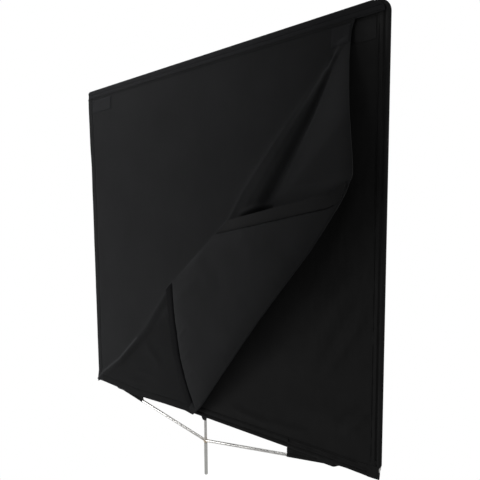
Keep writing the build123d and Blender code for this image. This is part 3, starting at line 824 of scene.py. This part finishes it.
s = np.unique(np.concatenate([np.linspace(0.004, 0.996, 200), [hem_share, tip_share]]))
near_line, far_line = fold_place(s), outline_at(s)
width = np.linalg.norm(far_line - near_line, axis=1)[:, None]
share = np.concatenate([0.10 * (1 - np.cos(np.linspace(0, pi / 2, 12)))[:-1], np.linspace(0.10, 0.90, 60),
                        0.90 + 0.10 * np.sin(np.linspace(0, pi / 2, 12))[1:]])[None, :]
sheet = near_line[:, None] + (far_line - near_line)[:, None] * share[..., None]
sheet_x, sheet_y, sheet_z = np.moveaxis(sheet, -1, 0)  # views, so that a change to one changes the sheet
in_from_fold, in_from_edge = share * width, (1 - share) * width
low_edge = np.concatenate([OUTLINE[:6, ::2], [OUTLINE[5, ::2] + (-0.010, 0.080)]])
side_edge = np.concatenate([[TIP_END[::2] - (0.100, 0.016)], OUTLINE[6:, ::2]])
edges = low_edge, side_edge, OUTLINE[5:7, ::2]
gap_low, gap_side, gap_tip = (np.abs(beside(sheet_x, sheet_z, e)[0]) for e in edges)
# the turned-back cloth stands plump between the fold and the hems' stitches
plump = 0.0175 * np.clip(width / 0.24, 0, 1) ** 1.2 * (1 - np.exp(-in_from_fold / 0.026))
plump = plump * (1 - np.exp(-np.maximum(gap_low - BAND_SEAM, 0) / 0.045))
plump = plump * (1 - np.exp(-np.maximum(gap_side - BAND_SEAM, 0) / 0.030)) * (1 - np.exp(-gap_tip / 0.018))
seam = np.maximum(bell(gap_low - BAND_SEAM, 0.0032), bell(gap_side - BAND_SEAM, 0.0032))
fat = fold_fat(s)[:, None]
sheet_y -= fat + plump
loose = smooth_step(in_from_fold, 0.01, 0.08) * smooth_step(in_from_edge, 0.0, 0.05)
sheet_y += swell(sheet_x, sheet_z, 31, 0.0020, longest=0.35, shortest=0.12) * loose
sheet_y += wrinkles(sheet_x, sheet_z, (
    ((-0.095, 0.420), (-0.020, 0.480), 0.008, 0.0022),
    ((-0.085, 0.350), (-0.005, 0.400), 0.007, 0.0024),
    ((-0.070, 0.285), (0.000, 0.325), 0.007, 0.0016),
    ((-0.090, 0.560), (0.060, 0.660), 0.020, 0.0026),
    ((0.010, 0.730), (0.150, 0.600), 0.030, 0.0022),
    ((0.200, 0.800), (0.300, 0.730), 0.024, 0.0026),
))
sheet_y += 0.0038 * seam * smooth_step(in_from_fold, 0.004, 0.02)
# the bend itself, half a turn round the fold's line
across = np.array([fold_run[2], -fold_run[0]]) / np.hypot(fold_run[0], fold_run[2])
bend_turn = np.linspace(-pi / 2, pi / 2, 13)[:-1]
out = fat * np.cos(bend_turn)
roll = np.stack([near_line[:, :1] + out * across[0], near_line[:, 1:2] - fat * np.sin(bend_turn),
                 near_line[:, 2:] + out * across[1]], axis=-1)
corner_grid = np.concatenate([roll, sheet], axis=1)
verts, faces = shell(corner_grid, FLAP)
corner = build("corner_cloth_sheet", verts, faces, flap_cloth, None,
               ["corner_sheet", "corner_fold"])
corner_tree = surface_tree(corner_grid)

# the tip is tucked under along the line from the bottom hem's end to the side hem
tucked = (s >= hem_share) & (s <= tip_share)
lip = corner_grid[tucked, -1]
tip_dir = (TIP_END - HEM_END)[::2] / np.linalg.norm((TIP_END - HEM_END)[::2])
tip_out = np.array([-tip_dir[1], tip_dir[0]])
tip_r = 0.0028
tip_columns = []
for t in np.linspace(-pi / 2 + 0.15, pi / 2, 9):
    tip_columns.append(np.stack([
        lip[:, 0] + tip_out[0] * tip_r * cos(t), lip[:, 1] + tip_r * (1 + sin(t)) + 0.0002,
        lip[:, 2] + tip_out[1] * tip_r * cos(t)], axis=-1))
under = tip_columns[-1]
tip_point = np.array([0.060, -0.034, 0.560])
for t in np.linspace(0.03, 0.96, 24):
    column = under + (tip_point - under) * t
    column[:, 1] += 0.004 * np.sin(pi * t)
    tip_columns.append(column)
verts, faces = shell(np.stack(tip_columns, axis=1), FLAP)
build("corner_cloth_tip", verts, faces, flap_cloth, "corner", ["corner_tip"])

low_run = outline_at(np.linspace(0.012, hem_share - 0.001, 70))[:, ::2]
side_run = outline_at(np.linspace(tip_share + 0.001, 0.985, 60))[:, ::2]
fold_dir = fold_run[::2] / np.linalg.norm(fold_run[::2])
# the bottom hem takes the darker band cloth, which is painted shade
hem("corner_hem_bottom", corner_tree, low_run, (0.3, 0.6), -1, "corner", ["corner_bottom_hem"], width=0.0315,
    thick=0.0011, cuts=(fold_dir, tip_dir), cloth=band_cloth)
hem("corner_hem_right", corner_tree, side_run, (0.2, 0.4), -1, "corner", ["corner_right_hem"], width=0.0315,
    thick=0.0011, cuts=(-tip_dir, None))

middle = Vector((0.131, -0.041, 0.831))  # a place on the turned-back part, for which way the fold faces
fold_axis = Vector(fold_run).normalized()
front = fold_axis.cross(middle - Vector(FOLD_LOW)).normalized()
if front.y > 0:
    front = -front
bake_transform(corner)

# ---------- fastener patches
patch_z = HINGE_Z - 0.004 - PATCH_SIZE[1] / 2
patch_x = HALF - 0.034 - PATCH_SIZE[0] / 2
HOOKS = (("left", -patch_x, -patch_x, PATCH_SIZE), ("right", patch_x, 0.489, SHORT_SIZE))


def patch(name, x, y, thick, material, body, replaces, size):
    """A rectangle of tape, with softly rounded edges and a face that isn't quite flat."""
    u, v = np.meshgrid(np.linspace(-1, 1, 41), np.linspace(-1, 1, 21))
    pull = 1 - 0.05 * np.maximum(np.abs(u) * np.abs(v) - 0.8, 0)
    grid = np.stack([x + u * size[0] / 2 * pull, y + 0.0001 * np.sin(9 * u) * np.sin(5 * v),
                     patch_z + v * size[1] / 2 * pull], axis=-1)
    rim = np.maximum(np.abs(u), np.abs(v))
    verts, faces = shell(grid, thick * (1 - 0.35 * smooth_step(rim, 0.86, 1.0)))
    build(name, verts, faces, material, body, replaces)


for side_name, loop_x, hook_x, hook_size in HOOKS:
    patch(f"loop_tape_{side_name}", loop_x, -0.00135, 0.0011, loop_tape, "flag",
          [f"loop_patch_{side_name}"], PATCH_SIZE)
    patch(f"hook_tape_{side_name}", hook_x, -0.00955, 0.0008, hook_tape, "flap",
          [f"hook_patch_{side_name}"], hook_size)
    # the same rectangle shows on the flap's front, as a sewn-on facing
    u, v = np.meshgrid(np.linspace(-1, 1, 61), np.linspace(-1, 1, 31))
    rim = np.maximum(np.abs(u), np.abs(v))
    lift = FLAP / 2 + 0.0004 + 0.0008 * (1 - smooth_step(rim, 0.9, 1.0))
    lift = lift - 0.0006 * bell(rim - 0.94, 0.02)
    size = (hook_size[0] + 0.006, hook_size[1] - 0.004)
    points, _ = lay_on(flap_tree, hook_x + u * size[0] / 2, patch_z - 0.004 + v * size[1] / 2, -1, lift)
    verts, faces = shell(points, 0.0007)
    build(f"flap_facing_{side_name}", verts, faces, facing_cloth, "flap")

# ---------- sewing
flap_rows = [
    seam_row(flap_tree, np.stack([left_limit + HEM_SEAM, row_z], axis=1)[10:-4], FLAP / 2),
    seam_row(flap_tree, low_line[12:-22] + (0, 0.026), FLAP / 2),
    seam_row(flap_tree, [(-0.600, 1.3315), (0.518, 1.3315)], FLAP / 2),
]
for _, _, hook_x, hook_size in HOOKS:
    in_x = hook_size[0] / 2 - 0.001
    corners = box_line(hook_x - in_x, patch_z - 0.026, hook_x + in_x, patch_z + 0.018)
    flap_rows.append(seam_row(flap_tree, corners, FLAP / 2 + 0.0008))
stitches("flap_stitching", flap_rows, "flap")
corner_rows = []
for run, toward in ((low_run[6:-8], (0.3, 0.6)), (side_run[8:-8], (0.2, 0.4))):
    corner_rows.append(seam_row(corner_tree, run + inward(run, toward) * BAND_SEAM, 0.0016))
# the corner's threads are thick, so that the dark rows also stand for the seams' painted shade
stitches("corner_stitching", corner_rows, "corner", radius=0.0009)
cover_rows = []
stitch_in = SEAM - 0.0035
for face in (-1, 1):
    for x in (-ROD_X + stitch_in, ROD_X - stitch_in):
        cover_rows.append(flat_row([(x, 0.205), (x, 1.315)], face))
    for z in (LOW_Z + stitch_in, TOP_Z - stitch_in):
        cover_rows.append(flat_row([(-0.55, z), (0.55, z)], face))
for z in (1.3405, 1.3530):
    cover_rows.append(seam_row(band_tree, [(-0.603, z), (0.590, z)], CLOTH / 2))
stitches("cover_stitching", cover_rows, "flag")

# ---------- metal
for names, material in (
    (("frame_rod_left", "frame_rod_right", "center_post", "brace_left", "brace_right"), rod_steel),
    (("grip_pin",), pin_steel),
    (("apex_weld", "post_weld", "brace_welds"), weld_steel),
):
    for name in names:
        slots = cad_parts[name].data.materials
        slots.clear()
        slots.append(material)

# ---------- floor, light and camera
bpy.ops.mesh.primitive_plane_add(size=60, location=(0, 0, -0.90))
floor = bpy.context.object
floor.name = "floor"
floor_material, shader, add, place = node_material("floor")
plug(shader, {"Base Color": ramp(add, noise(add, place, 3.0), (0, 1), (0.78, 0.82)), "Roughness": 0.9})
# away from the object the floor glows as white as the background
away = add("ShaderNodeVectorMath", {0: place}, operation="LENGTH").outputs["Value"]
glow = add("ShaderNodeEmission", {"Color": (1, 1, 1, 1), "Strength": 1.0})
fade = add("ShaderNodeMixShader", {0: soft_ramp(add, away, (0.8, 1.7), (0.0, 1.0)), 1: shader.outputs[0],
                                   2: glow.outputs[0]})
plug(floor_material.node_tree.nodes["Material Output"], {"Surface": fade.outputs[0]})
floor.data.materials.append(floor_material)

world = bpy.data.worlds.new("studio")
scene.world = world
world.use_nodes = True
add = adder(world.node_tree)
sky = add("ShaderNodeTexCoord", {}).outputs["Generated"]
part = add("ShaderNodeSeparateXYZ", {"Vector": sky}).outputs
level = soft_ramp(add, part["Y"], (-0.5, 0.35), (0.5, 1.0))
# a little more from the right and from overhead, out of the picture
from_right = ramp(add, part["X"], (0.0, 1.0), (0.0, 0.36))
from_top = ramp(add, part["Z"], (0.6, 1.0), (0.0, 0.8))
strength = calc(add, "ADD", calc(add, "ADD", level, from_right), from_top)
plug(world.node_tree.nodes["Background"], {"Color": (1, 1, 1, 1), "Strength": strength})


def area_light(name, place, aim, size, power, spread):
    """A soft rectangular lamp, out of the camera's sight."""
    data = bpy.data.lights.new(name, "AREA")
    data.shape = "RECTANGLE"
    data.size, data.size_y = size
    data.energy = power
    data.spread = radians(spread)
    light = bpy.data.objects.new(name, data)
    light.location = place
    light.rotation_euler = (Vector(aim) - Vector(place)).to_track_quat("-Z", "Y").to_euler()
    light.visible_camera = False
    scene.collection.objects.link(light)


FRONT_SET = (-0.1, 0.0, 0.75), (0.5, 0.8)  # where the front lamps aim, and their size
area_light("key", (-1.20, -1.00, 0.30), *FRONT_SET, 16.5, 160)
area_light("key_top", (-0.90, -0.50, 1.90), *FRONT_SET, 8, 160)
area_light("front", (0.0, -2.20, 1.50), *FRONT_SET, 9.5, 160)
area_light("back_fill", (1.9, 2.3, 2.2), (0.0, 0.0, 0.70), (1.4, 1.4), 30, 110)

camera_data = bpy.data.cameras.new("camera")
camera_data.lens = 30.605
camera_data.sensor_width = 36
camera_data.shift_y = 0.0326
camera = bpy.data.objects.new("camera", camera_data)
right = Vector((0.80874, 0.58813, -0.00696))
up = Vector((-0.04141, 0.06874, 0.99677))
back = -Vector((-0.58671, 0.80584, -0.07995))
turned = Matrix((right, up, back)).transposed().to_4x4()
camera.matrix_world = Matrix.Translation((0.91575, -1.04466, 0.82811)) @ turned
scene.collection.objects.link(camera)
scene.camera = camera
scene.view_settings.view_transform = "Standard"
